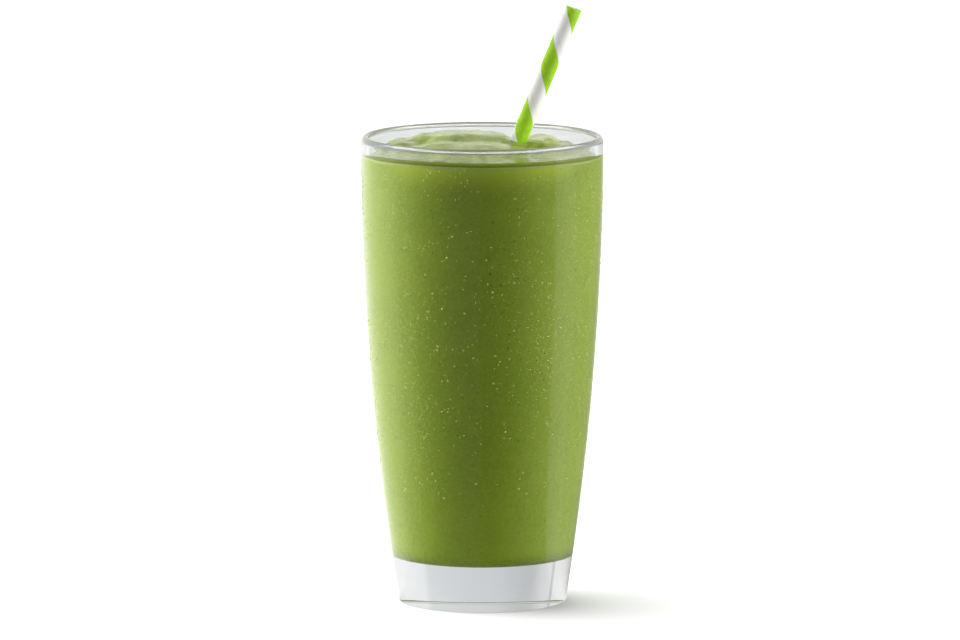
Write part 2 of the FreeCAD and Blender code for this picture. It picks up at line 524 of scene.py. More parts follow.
@dataclass(frozen=True)
class BlendedGreens:
    """The smoothie against the glass: finely blended leaf and fruit."""

    name: str = "BlendedGreens"
    body: Colour = (0.425, 0.580, 0.030)
    deep: Colour = (0.385, 0.545, 0.026)
    # Painted light: lighter colour just below the top.
    lit: Colour = (0.680, 0.860, 0.065)
    # Painted shade: dark colour of the drink that clings to the front wall.
    film: Colour = (0.230, 0.270, 0.025)
    # Painted highlight: pale line just below that band.
    line: Colour = (0.620, 0.700, 0.240)
    pulp: Colour = (0.480, 0.630, 0.055)
    cloud: float = 22 * MM
    grain: float = 1.1 * MM
    roughness: float = 0.30
    scatter_share: float = 0.5
    scatter_depth: float = 3.0 * MM
    scatter_radius: Colour = LEAF_SCATTER
    gloss: float = 0.18

    def colours(self, bench: MaterialBench) -> Socket:
        """Slow drifts of tone with fine pulp in them, a painted lighter zone below the top, painted shade
        where the drink clings to the front wall and a painted highlight line below that.
        """
        drift = bench.ramp(bench.noise(self.cloud, 3.0, Distortion=0.6), 0.35, 0.65)
        grain = bench.ramp(bench.noise(self.grain, 4.0), 0.42, 0.72)
        tone = bench.blend(drift, self.deep, self.body)
        tone = bench.blend(bench.sum("MULTIPLY", grain, 0.6), tone, self.pulp)
        # Painted light: lighter towards the contact line, front and back.
        near_top = bench.attribute("near_top")
        tone = bench.blend(bench.ramp(near_top, 0.1, 0.85), tone, self.lit)
        # Painted shade where the drink clings to the front wall, with a painted highlight line below it.
        height = bench.attribute("film")
        line = bench.sum("MULTIPLY", bench.ramp(height, -1.0, -0.4), bench.ramp(height, 0.0, -0.3))
        tone = bench.blend(line, tone, self.line)
        return bench.blend(bench.ramp(height, 0.0, 0.5), tone, self.film)

    def make(self) -> Material:
        """Builds the material."""
        bench = MaterialBench(self.name)
        relief = bench.bump(bench.noise(self.grain, 3.0), 0.04 * MM)
        rough = bench.ramp(bench.noise(self.grain, 2.0), 0.3, 0.7,
                           self.roughness - 0.08, self.roughness + 0.08)
        return bench.close({
            "Base Color": self.colours(bench), "Roughness": rough, "Normal": relief,
            "Specular IOR Level": self.gloss, "Subsurface Weight": self.scatter_share,
            "Subsurface Radius": self.scatter_radius, "Subsurface Scale": self.scatter_depth,
        })


@dataclass(frozen=True)
class WetTop:
    """The smoothie's open surface: wet and glossy, a little paler where it is frothy, with painted shade in
    the low parts of its swirls.
    """

    name: str = "WetTop"
    body: Colour = (0.425, 0.580, 0.030)
    froth: Colour = (0.640, 0.760, 0.130)
    painted_hollow_shade: Colour = (0.270, 0.420, 0.015)
    swirl: float = 9 * MM
    foam_grain: float = 0.9 * MM
    roughness: float = 0.20
    refraction: float = 1.5
    scatter_share: float = 0.4
    scatter_depth: float = 2.0 * MM
    scatter_radius: Colour = LEAF_SCATTER

    def make(self) -> Material:
        """Builds the material."""
        bench = MaterialBench(self.name)
        swirl = bench.noise(self.swirl, 3.0, Distortion=1.6)
        grain = bench.noise(self.foam_grain, 3.0)
        tone = bench.blend(bench.ramp(swirl, 0.40, 0.62), self.body, self.froth)
        # Painted shade: darker where the swirl's relief is lowest.
        tone = bench.blend(bench.ramp(swirl, 0.40, 0.28), tone, self.painted_hollow_shade)
        relief = bench.bump(grain, 0.03 * MM, under=bench.bump(swirl, 0.30 * MM))
        rough = bench.ramp(grain, 0.3, 0.7, self.roughness - 0.04, self.roughness + 0.06)
        return bench.close({
            "Base Color": tone, "Roughness": rough, "Normal": relief, "IOR": self.refraction,
            "Subsurface Weight": self.scatter_share,
            "Subsurface Radius": self.scatter_radius, "Subsurface Scale": self.scatter_depth,
        })


@dataclass(frozen=True)
class Speck:
    """Two tones of a small thing in the drink."""

    name: str
    deep: Colour
    pale: Colour
    patch: float
    smoothest: float
    roughest: float
    gloss: tuple[tuple[str, float], ...]

    def make(self) -> Material:
        """Builds the material."""
        bench = MaterialBench(self.name)
        tone = bench.blend(bench.ramp(bench.noise(self.patch, 1.0), 0.4, 0.6), self.deep, self.pale)
        rough = bench.ramp(bench.noise(self.patch, 2.0), 0.3, 0.7, self.smoothest, self.roughest)
        return bench.close({"Base Color": tone, "Roughness": rough, **dict(self.gloss)})


LEAF_FLECK = Speck("LeafFleck", (0.150, 0.240, 0.012), (0.270, 0.400, 0.025), 1.6 * MM, 0.5, 0.7,
                   (("Specular IOR Level", 0.1),))
FROTH_BUBBLE = Speck("FrothBubble", (0.50, 0.63, 0.16), (0.66, 0.76, 0.34), 1.3 * MM, 0.05, 0.16,
                     (("Coat Weight", 0.6), ("Coat Roughness", 0.05)))


@dataclass(frozen=True)
class StripedPaper:
    """Rolled paper printed with one broad stripe that winds up the straw."""

    name: str = "StripedPaper"
    pitch: float = 23.9 * MM
    paper: Colour = (0.92, 0.925, 0.90)
    green: Colour = (0.360, 0.660, 0.020)
    deep_green: Colour = (0.290, 0.570, 0.015)
    band_start: float = 0.0
    edge: float = 0.008
    fibre: float = 0.25 * MM
    seam_width: float = 0.015
    seam_shade: Colour = (0.72, 0.72, 0.72)

    def make(self) -> Material:
        """Builds the material, on the straw's own attributes "turn" and "along"."""
        bench = MaterialBench(self.name)
        wind = bench.sum("ADD", bench.sum("DIVIDE", bench.attribute("along"), self.pitch),
                         bench.attribute("turn"))
        phase = bench.sum("FRACT", bench.sum("SUBTRACT", wind, self.band_start))
        ragged = bench.sum("MULTIPLY", bench.sum("SUBTRACT", bench.noise(0.6 * MM, 2.0), 0.5), 0.02)
        phase = bench.sum("ADD", phase, ragged)
        rise = bench.ramp(phase, 0.25 - self.edge, 0.25 + self.edge)
        fall = bench.ramp(phase, 0.75 - self.edge, 0.75 + self.edge)
        stripe = bench.sum("SUBTRACT", rise, fall)
        fibres = bench.noise(self.fibre, 4.0)
        ink = bench.blend(bench.ramp(bench.noise(3 * MM, 4.0), 0.35, 0.65), self.deep_green, self.green)
        sheet = bench.blend(bench.ramp(fibres, 0.2, 0.8), tuple(0.94 * c for c in self.paper), self.paper)
        seam_phase = bench.sum("FRACT", bench.sum("MULTIPLY", wind, 2.0))
        seam = bench.ramp(bench.sum("ABSOLUTE", bench.sum("SUBTRACT", seam_phase, 0.5)), 0.0, self.seam_width)
        colour = bench.blend(stripe, sheet, ink)
        colour = bench.blend(bench.sum("SUBTRACT", 1.0, seam), colour, self.seam_shade, "MULTIPLY")
        relief = bench.bump(fibres, 0.03 * MM, under=bench.bump(seam, 0.05 * MM))
        rough = bench.ramp(fibres, 0.3, 0.7, 0.5, 0.68)
        return bench.close({"Base Color": colour, "Roughness": rough, "Normal": relief,
                            "Specular IOR Level": 0.35})


# Brightness of what is seen through the glass, by azimuth: pale behind, darker towards the lens.
SEEN_THROUGH: tuple[Point2, ...] = (
    (-180, 0.86), (-158, 0.70), (-145, 0.90), (-141, 0.93), (-139, 0.62), (-136.5, 1.00), (-122, 1.06),
    (-90, 1.04), (-30, 0.45), (30, 0.45), (90, 1.04), (128, 1.10), (149, 1.08), (154, 0.93), (180, 0.86))


@dataclass(frozen=True)
class StudioFloor:
    """Pale table. For bounced light its colour is painted dim, darkest before the glass. For rays mirrored in
    the glass or seen through it, it glows by azimuth instead, a painted reflection: its mirror image in the
    glass is dark before the glass and bright at its sides.
    """

    name: str = "StudioFloor"
    pale: Colour = (0.90, 0.90, 0.905)
    dim: Colour = (0.06, 0.06, 0.06)
    throws: float = 0.34
    through: Colour = (0.970, 0.985, 1.000)
    mottle: float = 60 * MM
    dim_from: float = -40 * MM
    dim_to: float = -160 * MM
    mirrored: tuple[Point2, ...] = (
        (-180, 0.80), (-150, 1.50), (-100, 1.50), (-80, 0.95), (-60, 0.45), (-42, 0.28), (-20, 0.22),
        (-5, 0.20), (1, 0.08), (22, 0.10), (45, 0.30), (70, 0.50), (76, 1.25), (92, 1.25), (106, 0.75),
        (122, 0.45), (145, 0.35), (180, 0.80))

    def make(self) -> Material:
        """Builds the material."""
        bench = MaterialBench(self.name)
        axes = bench.add("ShaderNodeSeparateXYZ", {0: bench.place})
        mottle = bench.ramp(bench.noise(self.mottle, 3.0), 0.3, 0.7)
        pale = bench.blend(mottle, tuple(0.99 * c for c in self.pale), self.pale)
        # Painted shade: for bounced light the floor is dim, darkest before the glass.
        before = bench.ramp(axes.outputs["Y"], self.dim_to, self.dim_from)
        thrown = bench.blend(before, self.dim, tuple(self.throws * c for c in self.pale))
        path = bench.add("ShaderNodeLightPath").outputs
        colour = bench.blend(path[Ray.DIFFUSE.value], pale, thrown)
        shader = bench.add("ShaderNodeBsdfDiffuse", {"Color": colour}).outputs[0]
        # Painted reflection: for mirrored and seen-through rays the floor glows by azimuth.
        for kind, tint, stops in ((Ray.GLOSSY, (1.0, 1.0, 1.0), self.mirrored),
                                  (Ray.TRANSMISSION, self.through, SEEN_THROUGH)):
            glow = bench.add("ShaderNodeEmission", {"Color": (*tint, 1.0),
                                                    "Strength": bench.ring(bench.place, stops)})
            shader = bench.for_rays(kind, shader, glow.outputs[0])
        bench.tree.links.new(shader, bench.output.inputs[0])
        return bench.material


# ---------------------------------------------------------------- small meshes


def mesh_object(name: str, corners: Sequence[Sequence[float]], faces: Sequence[Sequence[int]]) -> Piece:
    """New object with a mesh of its own, at the origin.

    Args:
        name: Name of the object and its mesh.
        corners: The mesh's points.
        faces: The faces as point numbers.

    Returns:
        The object.
    """
    mesh = bpy.data.meshes.new(name)
    mesh.from_pydata([tuple(corner) for corner in corners], [], [tuple(face) for face in faces])
    mesh.update()
    piece = bpy.data.objects.new(name, mesh)
    bpy.context.scene.collection.objects.link(piece)
    return piece


def shade_smooth(mesh: bpy.types.Mesh) -> None:
    """Rounds off the look of every face."""
    mesh.polygons.foreach_set("use_smooth", [True] * len(mesh.polygons))
    mesh.update()


def store_numbers(mesh: bpy.types.Mesh, name: str, values: Sequence[float]) -> None:
    """Keeps one number for each point of a mesh."""
    attribute = mesh.attributes.new(name, "FLOAT", "POINT")
    attribute.data.foreach_set("value", np.asarray(values, np.float32))


def dome(name: str, sides: int, rings: int, height: float, sink: float) -> Piece:
    """Closed dome of radius 1 on a flat base.

    Args:
        name: Name of the object.
        sides: Faces round the dome.
        rings: Faces from the base to the crown.
        height: Height of the crown.
        sink: How far the base lies below zero.

    Returns:
        The object.
    """
    corners: list[tuple[float, float, float]] = []
    for ring in range(rings):
        lift = math.radians(90.0 * ring / rings)
        for side in range(sides):
            turn = math.tau * side / sides
            corners.append((math.cos(lift) * math.cos(turn), math.cos(lift) * math.sin(turn),
                            math.sin(lift) * height - sink))
    corners.append((0.0, 0.0, height - sink))
    faces: list[tuple[int, ...]] = [tuple(reversed(range(sides)))]
    for ring in range(rings - 1):
        for side in range(sides):
            after = (side + 1) % sides
            low, high = ring * sides, (ring + 1) * sides
            faces.append((low + side, low + after, high + after, high + side))
    last = (rings - 1) * sides
    faces += [(last + side, last + (side + 1) % sides, len(corners) - 1) for side in range(sides)]
    piece = mesh_object(name, corners, faces)
    shade_smooth(piece.data)
    return piece


def chip(name: str, reaches: Sequence[float], thickness: float) -> Piece:
    """Flat chip with an uneven edge.

    Args:
        name: Name of the object.
        reaches: Distance of each corner from the middle.
        thickness: The chip's thickness.

    Returns:
        The object.
    """
    count = len(reaches)
    turns = [math.tau * i / count for i in range(count)]
    corners = [(reach * math.cos(turn), reach * math.sin(turn), side * thickness / 2)
               for side in (-1, 1) for reach, turn in zip(reaches, turns)]
    faces: list[tuple[int, ...]] = [tuple(reversed(range(count))), tuple(range(count, 2 * count))]
    faces += [(i, (i + 1) % count, count + (i + 1) % count, count + i) for i in range(count)]
    return mesh_object(name, corners, faces)


# ---------------------------------------------------------------- the tumbler


@dataclass(frozen=True)
class WallArc:
    """Circular arc of a wall, in the half plane of radius and height."""

    centre: Point2
    bend: float

    @classmethod
    def through(cls, low: Point2, middle: Point2, high: Point2) -> "WallArc":
        """The arc through three points, lowest first."""
        (ax, ay), (bx, by), (cx, cy) = low, middle, high
        twice = 2.0 * (ax * (by - cy) + bx * (cy - ay) + cx * (ay - by))
        a2, b2, c2 = ax * ax + ay * ay, bx * bx + by * by, cx * cx + cy * cy
        x = (a2 * (by - cy) + b2 * (cy - ay) + c2 * (ay - by)) / twice
        y = (a2 * (cx - bx) + b2 * (ax - cx) + c2 * (bx - ax)) / twice
        return cls((x, y), math.hypot(ax - x, ay - y))

    def radius_at(self, height: float) -> float:
        """Distance of the wall from the glass's axis."""
        return self.centre[0] + math.sqrt(self.bend ** 2 - (height - self.centre[1]) ** 2)

    def points(self, start: float, end: float, steps: int) -> Outline:
        """Points of the wall from one height to another."""
        heights = [start + (end - start) * i / steps for i in range(steps + 1)]
        return [(self.radius_at(height), height) for height in heights]


@dataclass(frozen=True)
class Corner:
    """Arc that is tangent to a level surface and to a wall that rises from it."""

    wall: WallArc
    level: float
    radius: float

    @property
    def centre(self) -> Point2:
        """The arc's centre."""
        height = self.level + self.radius
        offset = math.sqrt((self.wall.bend - self.radius) ** 2 - (height - self.wall.centre[1]) ** 2)
        return (self.wall.centre[0] + offset, height)

    @property
    def top_angle(self) -> float:
        """Direction from the arc's centre to where it meets the wall."""
        return math.atan2(self.centre[1] - self.wall.centre[1], self.centre[0] - self.wall.centre[0])

    def points(self, steps: int) -> Outline:
        """Points of the arc from the level surface up to the wall."""
        start = -math.pi / 2
        turns = [start + (self.top_angle - start) * i / steps for i in range(steps + 1)]
        return [(self.centre[0] + self.radius * math.cos(turn), self.centre[1] + self.radius * math.sin(turn))
                for turn in turns]


def straight(start: Point2, end: Point2, step: float) -> Outline:
    """Points of a straight stretch, both ends included, no further apart than step."""
    count = max(1, math.ceil(math.dist(start, end) / step))
    return [(start[0] + (end[0] - start[0]) * i / count, start[1] + (end[1] - start[1]) * i / count)
            for i in range(count + 1)]


@dataclass(frozen=True)
class TumblerShape:
    """Sizes of the glass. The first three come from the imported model."""

    height: float
    rim_radius: float
    floor_level: float
    foot_radius: float = 31.0 * MM
    wall_bulge: float = 3.05 * MM
    lip_thickness: float = 2.8 * MM
    waist_thickness: float = 2.6 * MM
    base_wall_thickness: float = 3.3 * MM
    cavity_corner: float = 6.5 * MM
    foot_corner: float = 5.0 * MM
    foot_ring_width: float = 6.0 * MM
    punt_depth: float = 0.5 * MM
    foot_edge: float = 0.5 * MM
    lip_droop: float = 1.3 * MM
    level_step: float = 0.7 * MM
    corner_steps: int = 16
    cavity_steps: int = 14
    wall_steps: int = 70
    lip_steps: int = 28

    @classmethod
    def from_frame(cls) -> "TumblerShape":
        """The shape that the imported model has."""
        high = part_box(CadNode.GLASS.value)[1]
        return cls(high.z, high.x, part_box(CadNode.SMOOTHIE.value)[0].z)

    @property
    def lip_level(self) -> float:
        """Height at which the rounded lip starts."""
        return self.height - self.lip_thickness / 2

    @property
    def middle_level(self) -> float:
        """Height halfway between the foot's corner and the lip."""
        return (self.foot_corner + self.lip_level) / 2

    @property
    def outer(self) -> WallArc:
        """The outer wall."""
        middle = (self.foot_radius + self.rim_radius) / 2 + self.wall_bulge
        return WallArc.through((self.foot_radius, self.foot_corner), (middle, self.middle_level),
                               (self.rim_radius, self.lip_level))

    @property
    def inner(self) -> WallArc:
        """The inner wall."""
        outer = self.outer
        return WallArc.through(
            (outer.radius_at(self.floor_level) - self.base_wall_thickness, self.floor_level),
            (outer.radius_at(self.middle_level) - self.waist_thickness, self.middle_level),
            (self.rim_radius - self.lip_thickness, self.lip_level))

    def underside(self) -> Outline:
        """From the axis over the gently domed underside to the foot's corner."""
        corner = Corner(self.outer, 0.0, self.foot_edge)
        ring_inside = corner.centre[0] - self.foot_ring_width
        steps = round(ring_inside / self.level_step)
        dome_line = [(ring_inside * i / steps, self.punt_depth * (1.0 - (i / steps) ** 2))
                     for i in range(steps)]
        return (dome_line + straight((ring_inside, 0.0), (corner.centre[0], 0.0), self.level_step)[:-1]
                + corner.points(self.corner_steps))

    def lip(self, steps: int) -> Outline:
        """Over the lip, from the outer wall to the inner one. Its outer side is rounded lower down."""
        radius = self.lip_thickness / 2
        points = []
        for i in range(steps + 1):
            turn = math.pi * i / steps
            level = self.lip_level + radius * math.sin(turn)
            outside = self.rim_radius
            if turn < math.pi / 2:
                level -= self.lip_droop * (1.0 - math.sin(turn))
                outside = self.outer.radius_at(min(level, self.lip_level))
            points.append((outside - radius + radius * math.cos(turn), level))
        return points

    def cavity_corner_arc(self, reach: float = 0.0) -> Corner:
        """Corner of the cavity, or the same corner reaching further into the glass."""
        wall = WallArc(self.inner.centre, self.inner.bend + reach)
        return Corner(wall, self.floor_level - reach, self.cavity_corner + reach)

    def outline(self) -> Outline:
        """Closed outline of the glass from the middle of its underside round to the cavity's floor."""
        underside = self.underside()
        cavity = self.cavity_corner_arc().points(self.cavity_steps)
        floor = straight(cavity[0], (0.0, self.floor_level), self.level_step)
        lip = self.lip(self.lip_steps)
        return (underside + self.outer.points(underside[-1][1], lip[0][1], self.wall_steps)[1:]
                + lip[1:] + self.inner.points(self.lip_level, cavity[-1][1], self.wall_steps)[1:]
                + cavity[::-1][1:] + floor[1:])


@dataclass
class TumblerGlass:
    """The empty glass. Its lip has a finish of its own, from a share of the droop downwards."""

    shape: TumblerShape
    sides: int = 288
    lip_share: float = 0.4
    finish: ClearGlass = ClearGlass()
    lip_finish: ClearGlass = ClearGlass(name="MilkyLip", clear_share=0.70)

    def build(self, lathe: LatheRecipe) -> Piece:
        """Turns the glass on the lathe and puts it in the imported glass's place.

        Args:
            lathe: The turning recipe.

        Returns:
            The piece.
        """
        piece = lathe.turn("TumblerGlass", self.shape.outline(), self.sides, self.finish.make())
        piece.data.materials.append(self.lip_finish.make())
        lip_slot = len(piece.data.materials) - 1
        lip_from = self.shape.lip_level - self.lip_share * self.shape.lip_droop
        for face in piece.data.polygons:
            if face.center.z > lip_from:
                face.material_index = lip_slot
        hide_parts(CadNode.GLASS.value)
        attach(piece, BODY)
        return piece


# ---------------------------------------------------------------- the straw


@dataclass
class PaperStraw:
    """Striped paper tube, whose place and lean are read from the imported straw's box."""

    wall: float = 0.5 * MM
    edge_round: float = 0.12 * MM
    sides: int = 96
    step: float = 1.5 * MM
    stripe_below_top: float = 22.5 * MM
    front_turn: float = -0.25
    lean_rounds: int = 60

    def __post_init__(self) -> None:
        """Works out the tube's radius, lean, length and ends."""
        low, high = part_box(CadNode.STRAW.value)
        size = high - low
        self.radius = size.y / 2
        self.lean = math.atan2(size.x, size.z)
        for _ in range(self.lean_rounds):
            along_x = size.x - 2 * self.radius * math.cos(self.lean)
            along_z = size.z - 2 * self.radius * math.sin(self.lean)
            self.lean = math.atan2(along_x, along_z)
        self.length = math.hypot(along_x, along_z)
        self.direction = Vector((math.sin(self.lean), 0.0, math.cos(self.lean)))
        self.foot = (low + high) / 2 - self.direction * self.length / 2

    def axis_at(self, height: float) -> Vector:
        """Point of the straw's axis at a height."""
        return self.foot + self.direction * ((height - self.foot.z) / self.direction.z)

    def placing(self) -> Matrix:
        """Carries the upright tube to the straw's place."""
        return Matrix.Translation(self.foot) @ Matrix.Rotation(self.lean, 4, "Y")

    def outline(self) -> Outline:
        """Closed outline of the upright tube, its cut edges a little rounded."""
        bore = self.radius - self.wall
        trim = self.edge_round
        outer = straight((self.radius, trim), (self.radius, self.length - trim), self.step)
        inner = straight((bore, self.length - trim), (bore, trim), self.step)
        top = [(self.radius - trim, self.length), (bore + trim, self.length)]
        foot = [(bore + trim, 0.0), (self.radius - trim, 0.0)]
        return outer + top + inner + foot + outer[:1]

    def write_wrap(self, mesh: bpy.types.Mesh) -> None:
        """Keeps, for each face corner, its share of a turn about the upright tube and its height."""
        count = len(mesh.loops)
        wrap = np.zeros(count * 2, np.float32)
        mesh.uv_layers["OFBake"].uv.foreach_get("vector", wrap)
        vertex = np.zeros(count, np.int32)
        mesh.loops.foreach_get("vertex_index", vertex)
        places = np.zeros(len(mesh.vertices) * 3, np.float32)
        mesh.vertices.foreach_get("co", places)
        turns, heights = wrap.reshape(-1, 2)[:, 0], places.reshape(-1, 3)[vertex, 2]
        for name, values in (("turn", turns), ("along", heights)):
            attribute = mesh.attributes.new(name, "FLOAT", "CORNER")
            attribute.data.foreach_set("value", np.ascontiguousarray(values))

    def build(self, lathe: LatheRecipe) -> Piece:
        """Turns the tube upright, keeps its wrap and leans it.

        Args:
            lathe: The turning recipe.

        Returns:
            The piece.
        """
        band_centre = (self.length - self.stripe_below_top) / StripedPaper.pitch + self.front_turn
        finish = StripedPaper(band_start=(band_centre - 0.5) % 1.0)
        piece = lathe.turn("StripedStraw", self.outline(), self.sides, finish.make())
        self.write_wrap(piece.data)
        piece.data.transform(self.placing())
        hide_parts(CadNode.STRAW.value)
        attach(piece, BODY)
        return piece


# ---------------------------------------------------------------- the smoothie


@dataclass
class PackedSurface:
    """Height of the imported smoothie's surface, carried smoothly over the hole for the straw."""

    straw: PaperStraw
    headroom: float = 10 * MM
    below_headroom: float = 15 * MM
    hole_margin: float = 0.7 * MM
    hole_rim: float = 1.5 * MM
    ring_share: float = 1.05
    ring_points: int = 12
    nearest: float = 0.3 * MM

    def __post_init__(self) -> None:
        """Prepares the surface for measuring."""
        node = bpy.data.objects[CadNode.SMOOTHIE.value].data
        corners = [vertex.co.copy() for vertex in node.vertices]
        faces = [tuple(face.vertices) for face in node.polygons]
        self.tree = BVHTree.FromPolygons(corners, faces)
        self.above = max(corner.z for corner in corners) + self.headroom
        self.middle = self.straw.axis_at(self.above - self.below_headroom)
        self.reach = (self.straw.radius + self.hole_margin) / math.cos(self.straw.lean) + self.hole_rim

    def measured(self, x: float, y: float) -> float:
        """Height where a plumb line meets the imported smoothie."""
        hit = self.tree.ray_cast(Vector((x, y, self.above)), Vector((0.0, 0.0, -1.0)))[0]
        return hit.z if hit else 0.0

    def height(self, x: float, y: float) -> float:
        """Height of the surface. Over the hole it is the weighted mean of points round the hole.

        Args:
            x: Place across.
            y: Place in depth.

        Returns:
            The height.
        """
        if math.hypot(x - self.middle.x, y - self.middle.y) > self.reach:
            return self.measured(x, y)
        total = weight_sum = 0.0
        for step in range(self.ring_points):
            turn = math.tau * step / self.ring_points
            px = self.middle.x + self.ring_share * self.reach * math.cos(turn)
            py = self.middle.y + self.ring_share * self.reach * math.sin(turn)
            weight = 1.0 / (math.hypot(px - x, py - y) + self.nearest) ** 2
            total += weight * self.measured(px, py)
            weight_sum += weight
        return total / weight_sum


@dataclass
class GreenSmoothie:
    """The drink, from the cavity's floor to its heaped wet surface. It reaches just into the glass."""

    shape: TumblerShape
    straw: PaperStraw
    columns: int = 384
    floor_rings: int = 8
    corner_rings: int = 10
    side_rings: int = 36
    top_rings: int = 118
    into_wall: float = 0.15 * MM
    wall_climb: float = 0.25 * MM
    climb_width: float = 0.7 * MM
    shoulder: float = 1.1 * MM
    shoulder_width: float = 6.0 * MM
    # How high the drink clings to the front wall; that band is painted dark as shade.
    film: float = 1.7 * MM
    # Width of the painted highlight line below that band.
    line: float = 0.55 * MM
    # Depth of the painted lighter zone below the top.
    light_zone: float = 13 * MM
    straw_climb: float = 0.45 * MM
    fold: float = 7.0 * MM
    fold_depth: float = 0.42 * MM
    fine_fold: float = 2.2 * MM
    fine_fold_depth: float = 0.09 * MM
    pit_spacing: float = 3.4 * MM
    pit_radius: float = 0.75 * MM
    pit_depth: float = 0.30 * MM
    pit_rarity: float = 0.72
    measured_share: float = 0.985
    free_from: float = 3.0 * MM
    straw_climb_width: float = 0.8 * MM

    @property
    def turns(self) -> np.ndarray:
        """Directions of the columns about the axis."""
        return np.arange(self.columns) * math.tau / self.columns

    def relief(self, x: float, y: float) -> float:
        """Folds, ripples and small pits on the surface.

        Args:
            x: Place across.
            y: Place in depth.

        Returns:
            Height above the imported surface.
        """
        place = Vector((x, y, 0.0))
        swirl = noise.noise_vector(place / (2.0 * self.fold)) * (0.9 * self.fold)
        folds = cloud(place + swirl, self.fold, (3.1, 7.7, 0.4))
        ripples = cloud(place + 0.5 * swirl, self.fine_fold, (9.2, 1.3, 5.8))
        distances, centres = noise.voronoi(place / self.pit_spacing + Vector((0.0, 0.0, 0.37)))
        chance = noise.cell(centres[0] * 17.0)
        pit = 0.0
        if chance > self.pit_rarity:
            radius = self.pit_radius * (0.45 + 0.55 * chance)
            pit = 1.0 - smooth_step(distances[0] * self.pit_spacing, 0.35 * radius, radius)
        return self.fold_depth * folds + self.fine_fold_depth * ripples - self.pit_depth * pit

    def surface_rings(self, surface: PackedSurface) -> tuple[list[np.ndarray], np.ndarray]:
        """Rings of the top from the wall inwards.

        Args:
            surface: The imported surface.

        Returns:
            The rings, and the height of the contact line round the wall.
        """
        inner = self.shape.inner
        measured_to = inner.radius_at(self.shape.lip_level) * self.measured_share
        contact = np.zeros(self.columns)
        climbs = []
        for i, turn in enumerate(self.turns):
            level = surface.height(measured_to * math.cos(turn), measured_to * math.sin(turn))
            climbs.append(self.wall_climb + self.film * frontness(turn))
            contact[i] = level + self.wall_climb - self.shoulder + self.film * frontness(turn)
        rings = []
        wall_radius = np.array([inner.radius_at(min(z, self.shape.height)) for z in contact]) + self.into_wall
        middle = self.straw.axis_at(float(contact.mean()))
        for ring in range(self.top_rings):
            share = 1.0 - ring / self.top_rings
            points = np.zeros((self.columns, 3))
            for i, turn in enumerate(self.turns):
                radius = wall_radius[i] * share
                x, y = radius * math.cos(turn), radius * math.sin(turn)
                if ring == 0:
                    points[i] = (x, y, contact[i])
                    continue
                from_wall = wall_radius[i] - radius
                inward = min(radius, measured_to)
                base = surface.height(inward * math.cos(turn), inward * math.sin(turn))
                free = smooth_step(from_wall, 0.0, self.free_from)
                climb = climbs[i] * math.exp(-from_wall / self.climb_width)
                climb -= self.shoulder * (1.0 - smooth_step(from_wall, 0.0, self.shoulder_width))
                across = (x - middle.x) * math.cos(self.straw.lean)
                from_straw = max(math.hypot(across, y - middle.y) - self.straw.radius, 0.0)
                climb += self.straw_climb * math.exp(-from_straw / self.straw_climb_width)
                points[i] = (x, y, base + free * self.relief(x, y) + climb)
            rings.append(points)
        return rings, contact

    def wall_rings(self, contact: np.ndarray) -> list[np.ndarray]:
        """Rings of the floor, its corner and the side, from the middle outwards and up."""
        ring_of = np.stack([np.cos(self.turns), np.sin(self.turns)], axis=1)
        corner = self.shape.cavity_corner_arc(self.into_wall)
        arc = corner.points(self.corner_rings)
        floor = [(arc[0][0] * (i + 1) / self.floor_rings, corner.level) for i in range(self.floor_rings)]
        rings = [np.column_stack([ring_of * radius, np.full(self.columns, height)])
                 for radius, height in floor + arc[1:]]
        start = arc[-1][1]
        shares = [1.0 - (1.0 - step / self.side_rings) ** 2 for step in range(1, self.side_rings)]
        for share in shares:
            heights = start + (contact - start) * share
            radii = np.array([self.shape.inner.radius_at(z) for z in heights]) + self.into_wall
            rings.append(np.column_stack([ring_of * radii[:, None], heights]))
        return rings

    def side_shares(self, rings: np.ndarray, sides: int, shares: np.ndarray) -> list[float]:
        """One number a corner: the shares on the side's rings, and 0 on all others."""
        kept = np.zeros(rings.shape[:2])
        kept[:sides] = shares[:sides]
        return kept.ravel().tolist() + [0.0, 0.0]

    def write_shares(self, mesh: bpy.types.Mesh, rings: np.ndarray, contact: np.ndarray, sides: int) -> None:
        """Keeps where the side has painted shade and painted light.

        The number film is above 0 where the drink clings to the front wall, painted dark as shade, and from
        -1 to 0 on the line below it, painted pale as a highlight. The number near_top goes from 0 up to 1 at
        the contact line, front and back, as a painted lighter zone.

        Args:
            mesh: The drink's mesh.
            rings: All rings of corners.
            contact: Height of the contact line round the wall.
            sides: Number of rings below the top.
        """
        below = contact[None, :] - rings[:, :, 2]
        depth = np.array([self.film * frontness(turn) for turn in self.turns])
        facing = np.array([smooth_step(abs(math.sin(turn)), 0.35, 0.95) for turn in self.turns])
        # Above 0: painted shade on the band at the front wall; from -1 to 0: painted highlight line.
        film = np.clip((depth[None, :] - below) / self.line, -1.0, 1.0)
        # Painted light: lighter zone below the top, front and back.
        near = np.clip(1.0 - below / self.light_zone, 0.0, 1.0) * facing[None, :]
        store_numbers(mesh, "film", self.side_shares(rings, sides, film))
        store_numbers(mesh, "near_top", self.side_shares(rings, sides, near))

